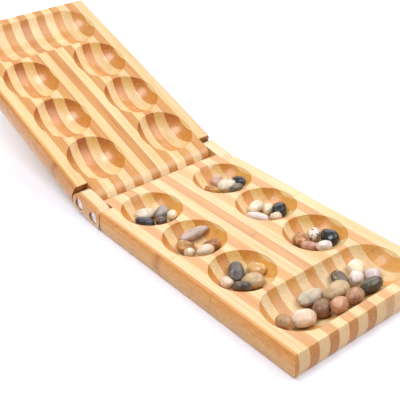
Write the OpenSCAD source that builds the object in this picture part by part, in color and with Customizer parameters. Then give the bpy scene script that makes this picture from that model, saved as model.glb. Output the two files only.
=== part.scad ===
// Folding mancala board of laminated bamboo, with pebble counters.
// Two identical halves are joined at the fold by two short wooden links on metal pins.
// It is drawn half open: the front half lies on the table and the back half is tipped up a little.
// Frame: millimetres, +Z up, +X along the fold, +Y from the front half to the back half.
// Origin: centre of the front half's underside.

/* [Halves] */
// Width of a half across its top face
body_w = 150; // [120:1:200]
// From the pin axis to the far edge of the top face
half_l = 240; // [200:1:300]
// Thickness of a half
thick = 20.5; // [16:0.5:30]
// Bulge of the sides and the far end at mid height
crown = 2.3; // [1:0.1:3]

/* [Lamination] */
// Number of staves between the two edge bands
stave_count = 15; // [11:2:21]
// Width of one stave
stave_w = 9.7; // [6:0.1:14]

/* [Pits] */
// Diameter of a pit at the top face
pit_d = 52.5; // [40:0.5:60]
// Depth of the pits and of the store
pit_depth = 14; // [8:0.5:16]
// Distance of each column of pits from the centre line
pit_x = 39; // [30:0.5:45]
// From the pin axis to the first row of pits
row_1 = 34; // [31:0.5:45]
// Distance from one row to the next
row_pitch = 57; // [54:0.5:65]

/* [Hinge] */
// Distance between the two pins of a link
link_pitch = 21.5; // [21:0.1:30]
// From the pin axis to the end wall of the notch a link lies in
notch_l = 11.2; // [10.5:0.1:20]
// Gap between a link and the side wall of its notch
link_gap = 0.3; // [0.1:0.1:1]
// How much thinner than the half a link is, all round
link_relief = 0.15; // [0:0.05:0.5]
// Diameter of a pin's shank
shank_d = 6; // [4:0.5:8]
// Diameter of a pin's head
head_d = 10.4; // [8:0.1:12]
// Thickness of a pin's head
head_t = 2.4; // [1.5:0.1:4]
// How far a head lies below the face of its link
head_recess = 1.5; // [0.5:0.1:3]
// How deep a shank goes into the half
shank_hold = 18; // [10:1:25]
// Clearance around a shank where a link turns on it
run_gap = 0.05; // [0.02:0.01:0.1]

/* [Pose] */
// Tilt of the links above level
link_tilt = 9; // [0:0.5:90]
// Tilt of the back half above level
back_tilt = 20.7; // [0:0.1:60]

/* [Pebbles] */
// Gap left between a pebble and the wood it lies on
seat = 0.15; // [0.05:0.05:0.5]

/* [Hidden] */
$fn = 96;
edge = (body_w - stave_count*stave_w)/2;
mid = thick/2;
last = stave_count + 1;
bowl_r = (pow(pit_d/2, 2) + pow(pit_depth, 2))/(2*pit_depth);
bowl_up = bowl_r - pit_depth;
crown_r = (pow(mid, 2) + pow(crown, 2))/(2*crown);
store_y = row_1 + 3*row_pitch;
notch_x = body_w/2 - edge - stave_w;
link_x = notch_x + link_gap;
link_r = mid - link_relief;
face_x = body_w/2 + crown;
head_x = face_x - head_recess - head_t;
bore_x = head_x - 0.1;
tip_x = notch_x - shank_hold;
link_dy = link_pitch*cos(link_tilt);
link_dz = link_pitch*sin(link_tilt);
light = "#ecd6a4";
dark = "#c98f4e";
steel = "#c9c9cc";
pebble = "#9a8f84";

STAVES = [for (i = [0:last]) i];
PITS = ["left_1", "left_2", "left_3", "right_1", "right_2", "right_3"];
function two(i) = str(i < 9 ? "0" : "", i + 1);

// ---- where things are ----

module at_front_pin() translate([0, half_l/2, mid]) children();

module at_back_pin() translate([0, half_l/2 + link_dy, mid + link_dz]) children();

// Each half is drawn with its pin axis on X and its length towards -Y.
module front() at_front_pin() children();

module back() at_back_pin() rotate([back_tilt, 0, 0]) rotate([0, 0, 180]) children();

function stave_x(i) = -body_w/2 + edge + (i - 1)*stave_w;
function is_light(i) = i % 2 == 1;
function is_edge(i) = i < 2 || i > last - 2;

// ---- the halves ----

// A bar of crowned section: flat above and below, with one bulged side towards +X.
module crowned_end(x0, x1) {
  intersection() {
    translate([x0, -mid]) square([x1 - x0 + crown, thick]);
    translate([x1 + crown - crown_r, 0]) circle(r = crown_r, $fn = 180);
  }
}

// The length of a half seen from the side, from y0 to the crowned far end.
module long_section(round_end, y0) {
  translate([-half_l + 15, -mid]) square([half_l - 15 - y0, thick]);
  mirror([1, 0]) crowned_end(half_l - 16, half_l);
  if (round_end) circle(r = mid);
}

module along_x(x0, w) {
  translate([x0, 0, 0]) rotate([90, 0, 90]) linear_extrude(w) children();
}

// The edge bands carry the bulge of the long sides.
module edge_band(side) {
  intersection() {
    along_x(side > 0 ? body_w/2 - edge : -body_w/2 - crown, edge + crown) long_section(false, notch_l);
    mirror([side > 0 ? 0 : 1, 0, 0])
      translate([0, 1, 0]) rotate([90, 0, 0]) linear_extrude(half_l + crown + 2)
        crowned_end(body_w/2 - edge, body_w/2);
  }
}

module bowl(x, y) translate([x, -y, mid + bowl_up]) sphere(r = bowl_r);

function touches(i, x, reach) = stave_x(i) < x + reach && stave_x(i) + stave_w > x - reach;

module hollows(i) {
  for (s = [-1, 1]) {
    if (touches(i, s*pit_x, pit_d/2)) {
      for (row = [0:3]) {
        if (row < 3 || (s > 0 ? stave_x(i) + stave_w > pit_x : stave_x(i) < -pit_x)) {
          bowl(s*pit_x, row_1 + row*row_pitch);
        }
      }
    }
  }
  if (touches(i, 0, pit_x)) {
    x0 = max(stave_x(i) - 1, -pit_x);
    x1 = min(stave_x(i) + stave_w + 1, pit_x);
    translate([x0, -store_y, mid + bowl_up]) rotate([0, 90, 0]) cylinder(r = bowl_r, h = x1 - x0);
  }
}

// Blind holes for the shanks, from the notch walls inwards.
module shank_holes(i) {
  for (s = [-1, 1]) {
    if (s*(stave_x(i) + stave_w/2) > tip_x - stave_w/2 && !is_edge(i)) {
      mirror([s > 0 ? 0 : 1, 0, 0])
        translate([tip_x - 0.5, 0, 0]) rotate([0, 90, 0]) cylinder(d = shank_d, h = shank_hold + 2);
    }
  }
}

module stave(i) {
  color(is_light(i) ? light : dark) {
    if (i == 0 || i == last) {
      edge_band(i == 0 ? -1 : 1);
    } else {
      difference() {
        along_x(stave_x(i), stave_w) long_section(!is_edge(i), is_edge(i) ? notch_l : 0);
        hollows(i);
        shank_holes(i);
      }
    }
  }
}

module front_stave(i) front() stave(i);

module back_stave(i) back() stave(last - i);

// ---- the hinge ----

// Outline of a link, from the front pin to the back pin.
module link_section() {
  circle(r = link_r);
  translate([0, -link_r]) square([link_pitch, 2*link_r]);
  translate([link_pitch, 0]) circle(r = link_r);
}

module link_bar(x0, w) {
  rotate([link_tilt, 0, 0]) along_x(x0, w) link_section();
}

// The holes through a link: a running hole for each shank and a wider seat for each head.
module link_holes() {
  rotate([link_tilt, 0, 0]) for (y = [0, link_pitch]) {
    translate([notch_x, y, 0]) rotate([0, 90, 0]) cylinder(d = shank_d + 2*run_gap, h = 20);
    translate([bore_x, y, 0]) rotate([0, 90, 0]) cylinder(d = head_d + 0.6, h = 20);
  }
}

module link_inner() {
  color(light) at_front_pin() difference() {
    link_bar(link_x, body_w/2 - edge - link_x);
    link_holes();
  }
}

module link_outer() {
  color(dark) at_front_pin() difference() {
    intersection() {
      link_bar(body_w/2 - edge, edge + crown);
      rotate([link_tilt, 0, 0]) translate([0, 50, 0]) rotate([90, 0, 0]) linear_extrude(100)
        crowned_end(body_w/2 - edge, body_w/2);
    }
    link_holes();
  }
}

// A headed pin: the shank is pressed into the half and the head keeps the link on.
module pin() {
  translate([tip_x, 0, 0]) rotate([0, 90, 0]) cylinder(d = shank_d, h = head_x - tip_x);
  translate([head_x, 0, 0]) rotate([0, 90, 0]) cylinder(d = head_d, h = head_t);
}

module pin_pair() {
  color(steel) {
    pin();
    mirror([1, 0, 0]) pin();
  }
}

// ---- the pebbles ----

// A pebble lies on the bowl at (x, y) from the pit's middle, its short axis square to the wood.
// size is its length, width and height, and turn its heading. One that lies on its neighbours is
// raised off the wood.
module rest(x, y, size, turn, spine, raised) {
  sx = min(max(x, -spine), spine);
  rho = bowl_r - size[2]/2 - seat - raised;
  az = atan2(y, x - sx);
  tilt = asin(min(0.95, norm([x - sx, y])/rho));
  translate([sx, 0, bowl_up]) rotate([0, 0, az]) rotate([0, -tilt, 0]) translate([0, 0, -rho])
    rotate([0, 0, turn - az]) scale(size/2) sphere(r = 1, $fn = 24);
}

module pebble(x, y, size, turn, raised = 0) rest(x, y, size, turn, 0, raised);

module store_pebble(x, y, size, turn, raised = 0) rest(x, y, size, turn, pit_x, raised);

module in_pit(side, row) {
  color(pebble) at_front_pin() translate([side*pit_x, -row_1 - (row - 1)*row_pitch, mid]) children();
}

module in_store() {
  color(pebble) at_front_pin() translate([0, -store_y, mid]) children();
}

// ---- what each node draws ----

for (i = STAVES) {
  front_stave(i);
  back_stave(i);
}
mirror([1, 0, 0]) link_inner();  // left_link_inner
mirror([1, 0, 0]) link_outer();  // left_link_outer
link_inner();  // right_link_inner
link_outer();  // right_link_outer
at_front_pin() pin_pair();  // front_pins
at_back_pin() rotate([back_tilt, 0, 0]) pin_pair();  // back_pins
in_pit(-1, 1) {  // pebbles_left_1
  pebble(-1.5, 8, [18, 11.5, 8], -5);
  pebble(-10, -3, [17, 12.5, 8], -40);
  pebble(9.5, -0.5, [13.5, 11, 9], 0);
  pebble(1.5, -10.5, [13.5, 9.5, 8], 75);
  pebble(10, -14.5, [12.5, 9.5, 8], 75);
}
in_pit(-1, 2) {  // pebbles_left_2
  pebble(8.5, 11, [26, 9, 8], -12, 0.5);
  pebble(-6.5, 3.5, [16, 15, 9], 70);
  pebble(-12, -8.5, [12, 9.5, 8.5], 50, 0.5);
  pebble(-3.5, -18, [17, 12, 9.5], 15, 0.5);
  pebble(8.5, -10.5, [18.5, 12, 8.5], -55);
}
in_pit(-1, 3) {  // pebbles_left_3
  pebble(2, 9.5, [18, 12.5, 9], 50);
  pebble(-15, 0.5, [14.5, 10, 9], 50);
  pebble(-12, -13, [15.5, 15, 9], 70, 0.5);
  pebble(2.5, -8.5, [19.5, 17, 11.5], 100);
  pebble(14, 0, [16.5, 11, 8], 115);
}
in_pit(1, 1) {  // pebbles_right_1
  pebble(2.5, 10, [13, 10, 8], 30);
  pebble(-1, -7, [18.5, 17, 11.5], 50, 2.5);
  pebble(13, -6, [17, 10.5, 8], 100);
  pebble(-16, -5, [15.5, 11, 8], 100);
  pebble(-1, -20.5, [13.5, 9.5, 8], 5);
}
in_pit(1, 2) {  // pebbles_right_2
  pebble(-3, 10, [17, 10.5, 9.5], 15);
  pebble(-17, -8.5, [20.5, 11.5, 8], -75);
  pebble(7, -8.5, [17.5, 13.5, 11.5], 40);
  pebble(-6.5, -19, [12, 9.5, 8], 25);
  pebble(5.5, 3, [11, 9.5, 8], 45);
}
in_pit(1, 3) {  // pebbles_right_3
  pebble(-8.5, 6, [17, 14, 10], 20);
  pebble(6.5, 7, [13, 10.5, 8], 25);
  pebble(10.5, -6.5, [19, 13, 10.5], 75);
  pebble(-7.5, -17.5, [14.5, 11, 9], 10, 0.5);
  pebble(-12.5, -7, [16.5, 11.5, 9], -20, 0.5);
}
in_store() {  // pebbles_store
  store_pebble(-55, -4.5, [15, 12.5, 11], 55);
  store_pebble(-38, -6, [20, 17.5, 11.5], -20, 0.5);
  store_pebble(-15.5, 8.5, [22.5, 12.5, 8.5], -5);
  store_pebble(-19, -6, [19.5, 14, 11.5], 40);
  store_pebble(2.5, -1, [23.5, 15, 11.5], 5, 2);
  store_pebble(16.5, 8.5, [18, 12, 8], 85);
  store_pebble(-13, -16.5, [17, 12.5, 11.5], 30, 0.5);
  store_pebble(4.5, -16, [19, 13, 11.5], 25);
  store_pebble(26, 1, [13.5, 11, 9.5], 40, 2.5);
  store_pebble(40, -3, [16, 12.5, 9.5], 35);
  store_pebble(24.5, -14.5, [20.5, 14, 11], -5);
  store_pebble(36.5, 10.5, [16, 14, 8], 25);
}
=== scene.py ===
"""Looks of the folding mancala board: laminated bamboo, metal hinge pins and polished pebbles."""

import functools
import math
import random
from collections import namedtuple

import bmesh
import bpy
import numpy as np
from mathutils import Matrix, Vector, noise


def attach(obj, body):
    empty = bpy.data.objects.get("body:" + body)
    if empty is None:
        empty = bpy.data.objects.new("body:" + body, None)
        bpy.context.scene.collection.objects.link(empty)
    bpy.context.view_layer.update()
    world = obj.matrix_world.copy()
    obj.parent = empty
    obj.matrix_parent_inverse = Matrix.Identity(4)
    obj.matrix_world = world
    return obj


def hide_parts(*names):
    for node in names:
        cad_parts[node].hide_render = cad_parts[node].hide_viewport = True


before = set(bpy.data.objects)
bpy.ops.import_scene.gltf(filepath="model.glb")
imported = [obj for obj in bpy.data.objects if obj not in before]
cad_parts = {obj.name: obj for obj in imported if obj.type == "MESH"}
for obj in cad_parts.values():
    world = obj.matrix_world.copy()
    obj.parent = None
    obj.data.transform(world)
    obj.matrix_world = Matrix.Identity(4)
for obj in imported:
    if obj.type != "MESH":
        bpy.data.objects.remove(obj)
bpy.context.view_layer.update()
scene = bpy.context.scene

# ---------------------------------------------------------------- sizes, metres
STAVES = 17
STAVE_W = 0.0097
STAVES_FROM = -0.07275  # left side of the first stave inside the edge band
FRONT_PIN = (0.0, 0.12, 0.01025)
LINK_TILT = math.radians(9.0)
BACK_TILT = math.radians(20.7)
LINK_PITCH = 0.0215
BACK_PIN = (
    0.0,
    FRONT_PIN[1] + LINK_PITCH * math.cos(LINK_TILT),
    FRONT_PIN[2] + LINK_PITCH * math.sin(LINK_TILT),
)
PIT_X = 0.039
ROW_Y = {1: 0.086, 2: 0.029, 3: -0.028}
STORE_Y = -0.085
PIN_EDGE = 0.00045  # rounding of the pins' heads

# where a zone of a half begins and is complete
PAST_HINGE_END = (0.0085, 0.0115)  # from the pin's axis
AT_STORE = (0.174, 0.179)  # from the pin's axis
EDGE_BAND = (0.0725, 0.0729)  # from the middle, to either side

# ---------------------------------------------------------------- camera
EYE = Vector((-0.3758, -0.3965, 0.3914))
AIM = Vector((0.0211, 0.0959, 0.0))
ROLL = math.radians(-1.0)
LENS_MM = 74.2
SENSOR_MM = 36.0


def make_camera():
    data = bpy.data.cameras.new("camera")
    data.sensor_width = SENSOR_MM
    data.lens = LENS_MM
    data.clip_start, data.clip_end = 0.01, 20.0
    cam = bpy.data.objects.new("camera", data)
    scene.collection.objects.link(cam)
    turn = (AIM - EYE).to_track_quat("-Z", "Y").to_matrix() @ Matrix.Rotation(ROLL, 3, "Z")
    cam.matrix_world = Matrix.Translation(EYE) @ turn.to_4x4()
    scene.camera = cam


make_camera()

# ---------------------------------------------------------------- node helpers


class Graph:
    """Short names for building a shader tree. A value is a socket, a number or a colour."""

    def __init__(self, name):
        self.mat = bpy.data.materials.new(name)
        self.mat.use_nodes = True
        self.tree = self.mat.node_tree
        self.tree.nodes.clear()
        out = self.node("OutputMaterial")
        self.shader = self.node("BsdfPrincipled")
        self.put(out.inputs["Surface"], self.shader.outputs[0])

    def node(self, kind):
        return self.tree.nodes.new("ShaderNode" + kind)

    def put(self, socket, value):
        if isinstance(value, bpy.types.NodeSocket):
            self.tree.links.new(value, socket)
        else:
            socket.default_value = value

    def set(self, **values):
        """Values for the shader's own sockets, with _ for a space."""
        for key, value in values.items():
            self.put(self.shader.inputs[key.replace("_", " ")], value)

    # -- places and directions

    def coords(self, output="Object"):
        return self.node("TexCoord").outputs[output]

    def in_half(self, vec, tilt, pin=(0, 0, 0)):
        """A place or direction in the tilted half's own axes, from its pin."""
        n = self.node("Mapping")
        n.vector_type = "TEXTURE"
        n.inputs["Location"].default_value = pin
        n.inputs["Rotation"].default_value = (tilt, 0, 0)
        self.put(n.inputs["Vector"], vec)
        return n.outputs[0]

    def scaled(self, vec, scale):
        """A place times one scale, or one for each axis."""
        n = self.node("Mapping")
        n.inputs["Scale"].default_value = scale if isinstance(scale, tuple) else (scale,) * 3
        self.put(n.inputs["Vector"], vec)
        return n.outputs[0]

    def split(self, vec):
        n = self.node("SeparateXYZ")
        self.put(n.inputs[0], vec)
        return n.outputs

    def join(self, x, y, z):
        n = self.node("CombineXYZ")
        for socket, value in zip(n.inputs, (x, y, z)):
            self.put(socket, value)
        return n.outputs[0]

    def moved(self, vec, by):
        n = self.node("VectorMath")
        n.operation = "ADD"
        self.put(n.inputs[0], vec)
        self.put(n.inputs[1], by)
        return n.outputs[0]

    # -- numbers

    def math(self, op, *values):
        n = self.node("Math")
        n.operation = op
        for socket, value in zip(n.inputs, values):
            self.put(socket, value)
        return n.outputs[0]

    def add(self, a, b):
        return self.math("ADD", a, b)

    def sub(self, a, b):
        return self.math("SUBTRACT", a, b)

    def mul(self, *values):
        return functools.reduce(lambda a, b: self.math("MULTIPLY", a, b), values)

    def abs(self, a):
        return self.math("ABSOLUTE", a)

    def ramp(self, value, low, high, to_low=0.0, to_high=1.0, smooth=True):
        """to_low where value is low, to_high where it is high; a smooth step or a line between."""
        n = self.node("MapRange")
        n.interpolation_type = "SMOOTHSTEP" if smooth else "LINEAR"
        ends = {"From Min": low, "From Max": high, "To Min": to_low, "To Max": to_high}
        self.put(n.inputs["Value"], value)
        for key, end in ends.items():
            self.put(n.inputs[key], end)
        return n.outputs[0]

    # -- patterns

    def noise(self, vec, scale, detail=2.0, rough=0.5, distort=0.0):
        n = self.node("TexNoise")
        self.put(n.inputs["Vector"], self.scaled(vec, scale))
        n.inputs["Scale"].default_value = 1.0
        n.inputs["Detail"].default_value = detail
        n.inputs["Roughness"].default_value = rough
        n.inputs["Distortion"].default_value = distort
        return n.outputs[0]

    def cells(self, vec):
        """The distance to the nearest of scattered points, about one apart."""
        n = self.node("TexVoronoi")
        self.put(n.inputs["Vector"], vec)
        n.inputs["Scale"].default_value = 1.0
        return n.outputs["Distance"]

    def white(self, value):
        n = self.node("TexWhiteNoise")
        n.noise_dimensions = "1D"
        self.put(n.inputs["W"], value)
        return n.outputs["Value"]

    # -- colour and relief

    def mix(self, share, a, b, mode="MIX"):
        n = self.node("Mix")
        n.data_type = "RGBA"
        n.blend_type = mode
        self.put(n.inputs[0], share)
        self.put(n.inputs[6], a)
        self.put(n.inputs[7], b)
        return n.outputs[2]

    def bump(self, height, strength, distance):
        n = self.node("Bump")
        n.inputs["Strength"].default_value = strength
        n.inputs["Distance"].default_value = distance
        self.put(n.inputs["Height"], height)
        return n.outputs[0]


def rgb(r, g, b):
    """An sRGB colour, 0 to 255, as linear RGBA."""

    def lin(c):
        c /= 255.0
        return c / 12.92 if c <= 0.04045 else ((c + 0.055) / 1.055) ** 2.4

    return (lin(r), lin(g), lin(b), 1.0)


# ---------------------------------------------------------------- bamboo

# base, deep, pale and fibre are the flat's tones; hollow is the colour of the pits' walls, partly the
# cut fibres' own colour and partly painted shade; the other wall tones are painted shade and painted
# light, and the outside tones hold painted shade
Tone = namedtuple("Tone", "base deep pale fibre hollow far_wall right_wall side_low side_high end")
TONES = {
    "natural": Tone(
        rgb(221, 190, 140), rgb(213, 174, 116), rgb(230, 204, 158), rgb(176, 118, 56),
        rgb(231, 206, 170), rgb(214, 168, 88), rgb(240, 206, 136),
        rgb(206, 168, 114), rgb(216, 180, 124), rgb(216, 178, 122),
    ),
    "caramel": Tone(
        rgb(201, 143, 78), rgb(192, 126, 60), rgb(214, 168, 106), rgb(150, 84, 30),
        rgb(208, 136, 46), rgb(192, 122, 42), rgb(232, 172, 80),
        rgb(212, 164, 106), rgb(210, 138, 56), rgb(178, 110, 28),
    ),
    "carbonised": Tone(
        rgb(204, 147, 80), rgb(194, 127, 58), rgb(214, 169, 107), rgb(140, 78, 26),
        rgb(206, 132, 46), rgb(174, 94, 28), rgb(214, 140, 48),
        rgb(202, 146, 82), rgb(198, 130, 58), rgb(160, 94, 30),
    ),
    "faded": Tone(
        rgb(228, 194, 150), rgb(216, 178, 132), rgb(236, 210, 172), rgb(180, 132, 84),
        rgb(228, 194, 150), rgb(214, 168, 88), rgb(240, 206, 136),
        rgb(206, 160, 104), rgb(204, 128, 50), rgb(178, 110, 28),
    ),
    "umber": Tone(
        rgb(204, 144, 78), rgb(190, 122, 58), rgb(214, 160, 98), rgb(128, 68, 24),
        rgb(186, 112, 46), rgb(154, 80, 30), rgb(192, 118, 46),
        rgb(176, 122, 74), rgb(186, 128, 70), rgb(140, 82, 34),
    ),
    "parched": Tone(
        rgb(212, 160, 96), rgb(202, 142, 76), rgb(222, 180, 120), rgb(150, 84, 30),
        rgb(210, 142, 62), rgb(200, 134, 66), rgb(228, 166, 76),
        rgb(206, 160, 108), rgb(208, 144, 72), rgb(196, 152, 104),
    ),
}
# painted shade for the notches' end walls
NOTCH_SHADE = rgb(146, 76, 32)
# a painted sheen for the pits' walls that face +x
LEFT_WALL_SHEEN = rgb(240, 216, 178)
# a painted sheen: it whitens the flats and lightens the natural staves' rounded hinge ends
PAINTED_SHEEN = rgb(255, 240, 220)
GLUE = rgb(226, 200, 160)

# knot is how far from the pin a knuckle of the cane shows on the sides; the two amounts after it are
# how much a painted sheen whitens the flat of the natural and of the darker staves
Place = namedtuple("Place", "pin tilt seed knot pale_bleach dark_bleach coat coat_roughness")
PLACES = {
    "front": Place(
        FRONT_PIN, tilt=0.0, seed=3.0, knot=0.097,
        pale_bleach=0.10, dark_bleach=0.10, coat=0.5, coat_roughness=0.2,
    ),
    "back": Place(
        BACK_PIN, tilt=BACK_TILT, seed=41.0, knot=0.049,
        pale_bleach=0.06, dark_bleach=0.03, coat=0.9, coat_roughness=0.24,
    ),
    "link": Place(
        FRONT_PIN, tilt=LINK_TILT, seed=77.0, knot=0.206,
        pale_bleach=0.22, dark_bleach=0.0, coat=0.9, coat_roughness=0.2,
    ),
}

# staves that came out of the kiln darker or paler than the rest
ODD_STAVES = {
    "back_stave_05": "umber",
    "back_stave_09": "umber",
    "front_stave_11": "parched",
    "front_stave_17": "faded",
    "back_stave_17": "faded",
}


def tone_of(half, i):
    if i % 2:
        return "natural"
    usual = "caramel" if half == "front" else "carbonised"
    return ODD_STAVES.get(f"{half}_stave_{i + 1:02d}", usual)


class Cane:
    """The patterns in the wood of one place, which its colour and relief are made from."""

    def __init__(self, g, place):
        p = g.in_half(g.coords(), place.tilt, place.pin)
        x, y, self.z = g.split(p)
        self.from_middle = g.abs(x)
        self.from_pin = g.abs(y)
        # each stave has its own three chances and its own piece of the patterns
        self.in_staves = g.math("DIVIDE", g.sub(x, STAVES_FROM), STAVE_W)
        stave = g.add(g.math("FLOOR", self.in_staves), place.seed)
        r1 = g.white(stave)
        self.r2 = g.white(g.add(stave, 0.37))
        r3 = g.white(g.add(stave, 0.71))
        self.q = q = g.moved(p, g.join(g.mul(self.r2, 3.0), g.mul(r1, 5.0), r3))

        # which way the surface faces: across is 1 on an end, slope is 0 on the flat
        self.facing_x, self.facing_y, facing_z = g.split(g.in_half(g.coords("Normal"), place.tilt))
        self.across = g.abs(self.facing_y)
        self.slope = g.sub(1.0, g.abs(facing_z))
        # how far a hollow cuts the fibres; the rounded hinge end is not a hollow
        self.past_hinge_end = g.ramp(self.from_pin, *PAST_HINGE_END, 0.15, 1.0)
        self.cut = g.mul(self.slope, self.past_hinge_end)

        # broad tone changes along and across a stave, and fine lengthwise grain lines
        self.broad = g.noise(q, (170, 14, 120), 3.0, 0.55)
        self.lines = g.noise(q, (900, 9, 700), 4.0, 0.62, 0.15)
        self.fine = g.noise(q, (3200, 60, 2800), 2.0, 0.6)
        self.mottle = g.noise(q, (700, 160, 700), 2.0, 0.6)

        # layers of the cane wall, which show as contour lines where a hollow cuts them
        wave = g.noise(q, (60, 16, 60))
        phase = g.add(g.mul(self.z, 5600.0), g.mul(wave, 22.0))
        phase = g.add(phase, g.mul(g.add(x, g.mul(y, 0.1)), 1400.0))
        self.layer = g.mul(g.add(g.math("SINE", phase), 1.0), 0.5)

        # fibre bundles: long cells that show as dots where the wood is cut across
        bundle = g.ramp(g.cells(g.scaled(q, (820, 90, 820))), 0.10, 0.40, 1.0, 0.0)
        density = g.ramp(g.noise(q, (260, 10, 190)), 0.40, 0.66, 0.25, 1.0)
        self.dots = g.mul(bundle, density)

        # a knuckle of the cane crosses some staves
        where = g.mul(g.add(r3, 0.12), 0.21)
        ragged = g.mul(g.sub(g.noise(q, (420, 1, 420)), 0.5), 0.006)
        gap = g.abs(g.sub(g.add(self.from_pin, ragged), where))
        self.knuckle = g.mul(g.ramp(gap, 0.0, 0.0016, 1.0, 0.0), g.ramp(r1, 0.55, 0.6))


def flat_colour(g, cane, tone, sheen):
    """The colour along the grain, with a painted sheen that whitens it except on the edge bands of a
    half.
    """
    col = g.mix(g.ramp(cane.broad, 0.3, 0.72), tone.deep, tone.base)
    col = g.mix(g.ramp(cane.lines, 0.5, 0.78, 0.0, 0.75), col, tone.pale)
    col = g.mix(g.ramp(cane.lines, 0.28, 0.46, 0.40, 0.0), col, tone.fibre)
    return g.mix(g.ramp(cane.from_middle, *EDGE_BAND, sheen, 0.0), col, PAINTED_SHEEN)


def hollow_colour(g, cane, tone, natural, col):
    """col, changed on the walls of the pits: the cut fibres' colour with painted shade and light. The
    long store's walls get a painted sheen that makes them paler than the round pits'.
    """
    steep = g.mul(g.ramp(cane.slope, 0.0, 0.40), cane.past_hinge_end)
    in_store = g.ramp(cane.from_pin, *AT_STORE)
    # painted shade: the pits' steep walls take the hollow colour, which is also the cut fibres' own
    # colour
    col = g.mix(g.mul(steep, 0.8), col, tone.hollow)
    # painted light: walls facing -x, and the near walls facing +y, are made golden as if lit
    right = g.mul(steep, g.ramp(cane.facing_x, -0.5, -0.1, 0.65, 0.0))
    col = g.mix(right, col, tone.right_wall)
    near = g.mul(steep, g.ramp(cane.facing_y, 0.0, 0.35, 0.0, 0.6))
    col = g.mix(near, col, tone.right_wall)
    # painted shade on the far walls, those facing -y, weaker in the store
    far = g.mul(g.ramp(cane.facing_y, -0.55, -0.05, 0.9, 0.0), g.ramp(cane.from_pin, *PAST_HINGE_END))
    far = g.mul(g.mul(steep, far), g.ramp(in_store, 0.0, 1.0, 1.0, 0.35))
    col = g.mix(far, col, tone.far_wall)
    # painted sheen: the store's walls are paled toward the pale tone
    col = g.mix(g.mul(steep, in_store, 0.35), col, tone.pale)
    if natural:
        # painted light: the rounded hinge end of a natural stave is lightened toward the sheen's white
        on_hinge_end = g.ramp(cane.from_pin, *PAST_HINGE_END, 0.4, 0.0)
        col = g.mix(g.mul(on_hinge_end, g.ramp(cane.slope, 0.1, 0.5)), col, PAINTED_SHEEN)
        # painted sheen on walls facing +x
        left = g.mul(steep, g.ramp(cane.facing_x, 0.05, 0.45, 0.0, 0.7))
        col = g.mix(left, col, LEFT_WALL_SHEEN)
    return col


def outside_colour(g, cane, tone, knot, col):
    """col, changed on the long sides and the ends."""
    # the long sides take a colour of their own that changes from bottom to top, partly the wood's and
    # partly painted shade
    side = g.mix(g.ramp(cane.z, -0.002, 0.009), tone.side_low, tone.side_high)
    side = g.mix(g.ramp(cane.lines, 0.46, 0.74, 0.0, 0.6), side, tone.pale)
    side = g.mix(g.ramp(cane.lines, 0.30, 0.48, 0.32, 0.0), side, tone.fibre)
    patch = g.abs(g.sub(g.add(cane.from_pin, g.mul(cane.broad, 0.012)), knot))
    patch = g.mul(g.ramp(patch, 0.0, 0.007, 1.0, 0.0), g.ramp(cane.fine, 0.3, 0.7, 0.3, 0.9))
    side = g.mix(patch, side, tone.fibre)
    on_side = g.ramp(g.abs(cane.facing_x), 0.80, 0.90)
    col = g.mix(g.mul(on_side, 0.9), col, side)

    # the ends take the end grain's colour, darkened further as painted shade
    on_end = g.ramp(cane.across, 0.85, 0.98)
    col = g.mix(g.mul(on_end, 0.9), col, tone.end)
    seam = g.abs(g.sub(g.math("FRACT", cane.in_staves), 0.5))
    col = g.mix(g.mul(g.ramp(seam, 0.455, 0.495, 0.0, 0.55), on_end), col, GLUE)
    # painted shade, a dark brown, on the notches' end walls near the pin
    notch_wall_shade = g.mul(g.ramp(cane.across, 0.94, 0.99), g.ramp(cane.from_pin, 0.012, 0.02, 0.85, 0.0))
    return g.mix(notch_wall_shade, col, NOTCH_SHADE)


def fibre_marks(g, cane, tone, col):
    """col with contour lines, dots, mottling and knuckles, mostly where the fibres are cut."""
    contours = g.mul(g.ramp(cane.cut, 0.0, 0.3, 0.1, 0.6), g.ramp(cane.facing_x, -0.4, -0.1, 0.6, 0.3))
    col = g.mix(g.mul(cane.layer, contours), col, tone.fibre)
    col = g.mix(g.mul(cane.dots, g.ramp(cane.cut, 0.02, 0.3, 0.14, 0.62)), col, tone.fibre)
    dark = g.mul(g.ramp(cane.mottle, 0.52, 0.7), g.ramp(cane.cut, 0.02, 0.3, 0.0, 0.3))
    col = g.mix(dark, col, tone.fibre)
    light = g.mul(g.ramp(cane.mottle, 0.46, 0.3), g.ramp(cane.cut, 0.02, 0.3, 0.0, 0.35))
    col = g.mix(light, col, tone.pale)
    return g.mix(g.mul(cane.knuckle, 0.30), col, tone.fibre)


@functools.cache
def bamboo(tone_name, place_name):
    """Glued and lacquered bamboo. The grain runs along the half, through its whole thickness."""
    tone, place, natural = TONES[tone_name], PLACES[place_name], tone_name == "natural"
    g = Graph(f"bamboo_{tone_name}_{place_name}")
    cane = Cane(g, place)
    col = flat_colour(g, cane, tone, place.pale_bleach if natural else place.dark_bleach)
    col = hollow_colour(g, cane, tone, natural, col)
    col = outside_colour(g, cane, tone, place.knot, col)
    col = fibre_marks(g, cane, tone, col)
    bright = g.add(g.mul(cane.r2, 0.14), 0.93)
    bright = g.mul(bright, g.ramp(cane.fine, 0.2, 0.8, 0.95, 1.04, smooth=False))
    height = g.add(g.mul(cane.lines, 0.6), g.mul(cane.dots, -0.35))
    height = g.add(height, g.mul(cane.fine, 0.25))
    g.set(
        Base_Color=g.mix(1.0, col, g.join(bright, bright, bright), "MULTIPLY"),
        Roughness=g.ramp(cane.lines, 0.2, 0.8, 0.62, 0.5, smooth=False),
        Specular_IOR_Level=0.15,
        Normal=g.bump(height, 0.22, 0.00012),
        Coat_Weight=place.coat,
        Coat_Roughness=place.coat_roughness,
        Coat_IOR=1.5,
        Coat_Normal=g.bump(g.noise(cane.q, (220, 40, 220)), 0.10, 0.0002),
    )
    return g.mat


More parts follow.
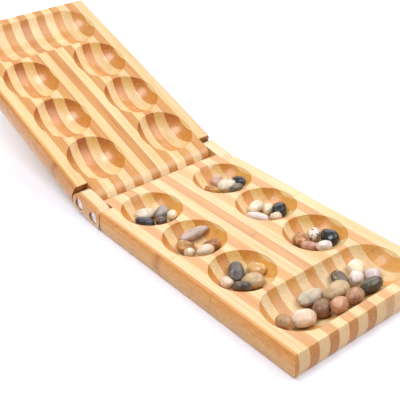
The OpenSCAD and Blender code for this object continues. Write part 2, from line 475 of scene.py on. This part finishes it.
def pin_metal():
    """Turned metal, a little worn, with fine rings from the lathe."""
    g = Graph("pin_metal")
    p = g.coords()
    wear = g.noise(p, 300, 3.0, 0.6)
    rings = g.noise(p, (60, 2600, 2600))
    g.set(
        Base_Color=g.mix(g.ramp(wear, 0.3, 0.7), rgb(206, 202, 206), rgb(232, 229, 232)),
        Metallic=1.0,
        Roughness=g.ramp(wear, 0.3, 0.75, 0.24, 0.40),
        Normal=g.bump(rings, 0.06, 0.00005),
    )
    return g.mat


def dress(node, material):
    """Give a CAD node its material."""
    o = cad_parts[node]
    o.data.materials.clear()
    o.data.materials.append(material)
    return o


def round_edges(o, width):
    m = o.modifiers.new("edge", "BEVEL")
    m.width = width
    m.segments = 3
    m.limit_method = "ANGLE"
    m.angle_limit = math.radians(40.0)
    m.harden_normals = False


def dress_board():
    for half in ("front", "back"):
        for i in range(STAVES):
            dress(f"{half}_stave_{i + 1:02d}", bamboo(tone_of(half, i), half))
    for side, outer in (("left", "caramel"), ("right", "faded")):
        dress(f"{side}_link_inner", bamboo("natural", "link"))
        dress(f"{side}_link_outer", bamboo(outer, "link"))
    metal = pin_metal()
    for name in ("front_pins", "back_pins"):
        round_edges(dress(name, metal), PIN_EDGE)


dress_board()

# ---------------------------------------------------------------- pebbles

# main colour, second colour, third colour, kind, roughness
LOOKS = {
    "cream": (rgb(216, 204, 182), rgb(190, 172, 146), rgb(234, 226, 210), "grain", 0.42),
    "tan": (rgb(178, 138, 98), rgb(150, 108, 68), rgb(200, 166, 126), "grain", 0.40),
    "tan_cream": (rgb(192, 162, 120), rgb(168, 136, 104), rgb(216, 196, 160), "grain", 0.40),
    "honey": (rgb(184, 132, 66), rgb(138, 92, 40), rgb(214, 182, 128), "clear", 0.34),
    "grey": (rgb(160, 150, 142), rgb(118, 108, 102), rgb(190, 182, 172), "grain", 0.42),
    "grey_cream": (rgb(194, 176, 148), rgb(164, 152, 136), rgb(218, 206, 184), "grain", 0.42),
    "dark_grey": (rgb(100, 92, 86), rgb(70, 64, 62), rgb(140, 130, 122), "grain", 0.38),
    "dark_brown": (rgb(98, 76, 64), rgb(62, 50, 46), rgb(148, 122, 104), "grain", 0.36),
    "maroon": (rgb(132, 98, 70), rgb(118, 74, 50), rgb(166, 134, 102), "grain", 0.42),
    "clay": (rgb(192, 146, 120), rgb(168, 118, 96), rgb(216, 178, 156), "grain", 0.44),
    "blush": (rgb(206, 172, 150), rgb(176, 132, 112), rgb(228, 204, 186), "grain", 0.42),
    "terracotta": (rgb(208, 158, 126), rgb(176, 120, 86), rgb(226, 186, 156), "grain", 0.42),
    "rust": (rgb(178, 130, 98), rgb(136, 90, 66), rgb(208, 168, 140), "vein", 0.40),
    "orange_brown": (rgb(178, 116, 66), rgb(130, 80, 46), rgb(216, 172, 128), "vein", 0.38),
    "mauve": (rgb(196, 172, 160), rgb(170, 144, 134), rgb(216, 196, 184), "grain", 0.42),
    "pink_white": (rgb(214, 198, 176), rgb(212, 178, 152), rgb(238, 226, 206), "grain", 0.42),
    "snow": (rgb(226, 214, 207), rgb(212, 196, 188), rgb(238, 231, 226), "clear", 0.40),
    "clear": (rgb(226, 214, 192), rgb(216, 200, 168), rgb(238, 232, 216), "clear", 0.34),
    "amber": (rgb(212, 172, 112), rgb(186, 140, 78), rgb(232, 208, 160), "clear", 0.34),
    "lilac": (rgb(204, 190, 186), rgb(178, 160, 162), rgb(224, 212, 208), "clear", 0.38),
    "black": (rgb(32, 31, 32), rgb(22, 21, 22), rgb(56, 52, 48), "polish", 0.26),
    "navy": (rgb(46, 48, 56), rgb(28, 28, 34), rgb(82, 80, 84), "polish", 0.30),
    "olive_black": (rgb(84, 72, 54), rgb(58, 50, 38), rgb(110, 96, 72), "polish", 0.28),
    "olive_dark": (rgb(106, 88, 68), rgb(74, 60, 46), rgb(134, 114, 90), "grain", 0.38),
    "spotted": (rgb(228, 212, 198), rgb(208, 186, 170), rgb(46, 38, 38), "spots", 0.40),
    "green_grey": (rgb(112, 104, 86), rgb(78, 72, 60), rgb(148, 138, 118), "grain", 0.38),
}

# The look of each pebble and about where it lies in its pit, in millimetres from the middle.
PEBBLES = {
    "left_1": [
        ("cream", -1.5, 8), ("navy", -10, -3), ("grey", 9.5, -0.5), ("dark_brown", 1.5, -10.5),
        ("clear", 10, -14.5),
    ],
    "left_2": [
        ("mauve", 8.5, 11), ("honey", -6.5, 3.5), ("cream", -12, -8.5), ("pink_white", -3.5, -18),
        ("orange_brown", 8.5, -10.5),
    ],
    "left_3": [
        ("dark_grey", 2, 9.5), ("pink_white", -15, 0.5), ("dark_brown", -12, -13),
        ("tan_cream", 2.5, -8.5), ("amber", 14, 0),
    ],
    "right_1": [
        ("blush", 2.5, 10), ("cream", -1, -7), ("navy", 13, -6), ("honey", -16, -5),
        ("green_grey", -1, -20.5),
    ],
    "right_2": [
        ("clear", -3, 10), ("snow", -17, -8.5), ("black", 7, -8.5), ("pink_white", -6.5, -19),
        ("clear", 5.5, 3),
    ],
    "right_3": [
        ("orange_brown", -8.5, 6), ("spotted", 6.5, 7), ("black", 10.5, -6.5),
        ("snow", -7.5, -17.5), ("clay", -12.5, -7),
    ],
    "store": [
        ("tan", -55, -4.5), ("pink_white", -38, -6), ("grey_cream", -15.5, 8.5), ("maroon", -19, -6),
        ("tan_cream", 2.5, -1), ("olive_dark", 16.5, 8.5), ("terracotta", -13, -16.5),
        ("rust", 4.5, -16), ("snow", 26, 1), ("lilac", 40, -3), ("olive_black", 24.5, -14.5),
        ("clear", 36.5, 10.5),
    ],
}
MATERIAL_SEED = 911
SHAPE_SEED = 40


def stone(look, number):
    """Polished stone: clouds of two colours, with grains, spots or veins of the third."""
    main, second, third, kind, roughness = LOOKS[look]
    g = Graph(f"stone_{look}_{number}")
    rnd = random.Random(MATERIAL_SEED + number)
    p = g.moved(g.coords(), (rnd.uniform(0, 9), rnd.uniform(0, 9), rnd.uniform(0, 9)))
    cloud = g.noise(p, 150, 4.0, 0.6, 0.6)
    speck = g.noise(p, 1300, 3.0, 0.7)
    lumps = g.noise(p, 420, 4.0, 0.6)
    col = g.mix(g.ramp(cloud, 0.34, 0.62), second, main)
    if kind == "spots":
        cell = g.cells(g.moved(g.scaled(p, 330), g.join(cloud, speck, cloud)))
        blot = g.noise(p, 210)
        col = g.mix(g.mul(g.ramp(cell, 0.30, 0.42, 1.0, 0.0), g.ramp(blot, 0.40, 0.48)), col, third)
    elif kind == "vein":
        vein = g.abs(g.sub(g.noise(p, 95, 3.0, 0.6, 1.4), 0.5))
        col = g.mix(g.ramp(vein, 0.0, 0.035, 0.75, 0.0), col, third)
        col = g.mix(g.ramp(speck, 0.6, 0.75, 0.0, 0.5), col, second)
    else:
        col = g.mix(g.ramp(speck, 0.54, 0.74, 0.0, 0.75 if kind == "grain" else 0.3), col, third)
        if kind == "grain":
            col = g.mix(g.ramp(speck, 0.26, 0.42, 0.55, 0.0), col, second)
    g.set(
        Base_Color=col,
        Roughness=g.ramp(speck, 0.3, 0.7, roughness - 0.05, roughness + 0.06),
        Normal=g.bump(lumps, 0.25 if kind == "grain" else 0.12, 0.0002),
    )
    if kind == "clear":
        g.set(Subsurface_Weight=0.55, Subsurface_Radius=(1.0, 0.9, 0.75), Subsurface_Scale=0.004)
        g.set(Coat_Weight=0.25, Coat_Roughness=0.2)
    elif kind == "polish":
        g.set(Coat_Weight=0.2, Coat_Roughness=0.16)
    else:
        g.set(Coat_Weight=0.2, Coat_Roughness=0.25)
    return g.mat


def solids_of(node):
    """The separate solids of a CAD node, each as a list of its points."""
    bm = bmesh.new()
    bm.from_mesh(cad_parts[node].data)
    seen, found = set(), []
    for start in bm.verts:
        if start.index in seen:
            continue
        stack, group = [start], []
        seen.add(start.index)
        while stack:
            v = stack.pop()
            group.append(v.co.copy())
            for e in v.link_edges:
                other = e.other_vert(v)
                if other.index not in seen:
                    seen.add(other.index)
                    stack.append(other)
        found.append(group)
    bm.free()
    return found


def measure(points):
    """Centre, axes and half sizes of the ellipsoid that the points lie on."""
    a = np.array(points, float)
    centre = (a.min(0) + a.max(0)) / 2
    d = a - centre
    r = np.linalg.norm(d, axis=1)
    # u points at the furthest point, w at the nearest one but square to u, and v is square to both
    u = d[r.argmax()] / r.max()
    w = d[r.argmin()] / r.min()
    w = w - u * (u @ w)
    w /= np.linalg.norm(w)
    v = np.cross(w, u)
    half = [abs(d @ k).max() for k in (u, v, w)]
    if w[2] < 0:
        w, v = -w, -v
    return Vector(centre), [Vector(k) for k in (u, v, w)], half


def pit_middle(name):
    if name == "store":
        return Vector((0.0, STORE_Y, 0.0))
    side, row = name.split("_")
    return Vector(((-1 if side == "left" else 1) * PIT_X, ROW_Y[int(row)], 0.0))


def pebble_mesh(name, half, seed):
    """A water-worn stone: a rounded lump with soft flats, that fills a box of half sizes half."""
    rnd = random.Random(seed)
    bm = bmesh.new()
    bmesh.ops.create_icosphere(bm, subdivisions=5, radius=1.0)
    off = Vector([rnd.uniform(-50, 50) for _ in range(3)])
    taper = rnd.uniform(-0.16, 0.16)
    bend = rnd.uniform(-0.10, 0.10)
    power = rnd.uniform(2.0, 2.35)
    flats = []
    for _ in range(4):
        n = Vector((rnd.gauss(0, 1), rnd.gauss(0, 1), rnd.gauss(0, 0.7))).normalized()
        flats.append((n, rnd.uniform(0.86, 0.95)))
    for v in bm.verts:
        d = v.co.normalized()
        p = d * (abs(d.x) ** power + abs(d.y) ** power + abs(d.z) ** power) ** (-1.0 / power)
        for n, level in flats:
            over = p.dot(n) - level
            if over > 0:
                p -= n * over * 0.75
        p.y *= 1.0 + taper * p.x
        p.z *= 1.0 + bend * p.x
        p *= 1.0 + 0.05 * noise.noise(d * 1.3 + off) + 0.018 * noise.noise(d * 3.1 + off)
        v.co = p
    lo = [min(v.co[k] for v in bm.verts) for k in range(3)]
    hi = [max(v.co[k] for v in bm.verts) for k in range(3)]
    for v in bm.verts:
        share = [(v.co[k] - (lo[k] + hi[k]) / 2) * 2 / (hi[k] - lo[k]) for k in range(3)]
        v.co = Vector([share[k] * half[k] * 0.995 for k in range(3)])
    for f in bm.faces:
        f.smooth = True
    mesh = bpy.data.meshes.new(name)
    bm.to_mesh(mesh)
    bm.free()
    return mesh


def make_pebbles():
    """A stone in place of each CAD ellipsoid, on the body of its pit's node."""
    count = 0
    for pit, pebbles in PEBBLES.items():
        node = f"pebbles_{pit}"
        solids = [measure(points) for points in solids_of(node)]
        for k, (look, x, y) in enumerate(pebbles):
            want = pit_middle(pit) + Vector((x, y, 0)) / 1000.0
            nearest = min(solids, key=lambda s: (s[0].xy - want.xy).length)
            solids.remove(nearest)
            centre, axes, half = nearest
            count += 1
            mesh = pebble_mesh(f"pebble_{count}", half, SHAPE_SEED + count)
            o = bpy.data.objects.new(f"pebble_{pit}_{k + 1}", mesh)
            scene.collection.objects.link(o)
            o.matrix_world = Matrix.Translation(centre) @ Matrix(axes).transposed().to_4x4()
            o.data.materials.append(stone(look, count))
            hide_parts(node)
            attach(o, node)


make_pebbles()

# ---------------------------------------------------------------- floor and light
FLOOR_HALF = 40.0
FLOOR_PLACE = (0.0, 0.1, -0.0002)
GLOW_REACH = (0.15, 0.7)  # from the floor's middle, where its glow begins to grow and is full
GLOW = (0.12, 0.7)
LIT_SPOT = Vector((0.0, 0.1, 0.02))  # where the lamps are aimed
WORLD_STRENGTH = 0.38
WHITE = (1, 1, 1, 1)


def floor():
    """A pale sweep with a painted glow, faint by the board and strong away from it, so that it runs
    out to white.
    """
    g = Graph("floor")
    x, y, _ = g.split(g.coords())
    out = g.math("SQRT", g.add(g.mul(x, x), g.mul(y, y)))
    g.set(Base_Color=rgb(232, 234, 245), Roughness=0.9, Specular_IOR_Level=0.1)
    g.set(Emission_Color=WHITE, Emission_Strength=g.ramp(out, *GLOW_REACH, *GLOW))
    mesh = bpy.data.meshes.new("floor")
    s = FLOOR_HALF
    mesh.from_pydata([(-s, -s, 0), (s, -s, 0), (s, s, 0), (-s, s, 0)], [], [(0, 1, 2, 3)])
    o = bpy.data.objects.new("floor", mesh)
    scene.collection.objects.link(o)
    o.location = FLOOR_PLACE
    o.data.materials.append(g.mat)


def lamp(name, place, size, power):
    """A softbox of a size in metres and a power in watts."""
    data = bpy.data.lights.new(name, "AREA")
    data.shape = "RECTANGLE"
    data.size, data.size_y = size
    data.energy = power
    o = bpy.data.objects.new(name, data)
    scene.collection.objects.link(o)
    o.location = place
    o.rotation_mode = "QUATERNION"
    o.rotation_quaternion = (o.location - LIT_SPOT).to_track_quat("Z", "Y")


def make_world():
    world = bpy.data.worlds.new("world")
    world.use_nodes = True
    background = world.node_tree.nodes["Background"]
    background.inputs["Color"].default_value = WHITE
    background.inputs["Strength"].default_value = WORLD_STRENGTH
    scene.world = world


floor()
lamp("key", (-0.38, 0.19, 0.88), (0.46, 0.46), 6.0)
lamp("side", (0.58, -0.33, 1.06), (1.1, 1.1), 11.5)
lamp("back", (1.39, 1.85, 1.32), (2.4, 1.5), 22.0)
make_world()
scene.view_settings.view_transform = "Standard"
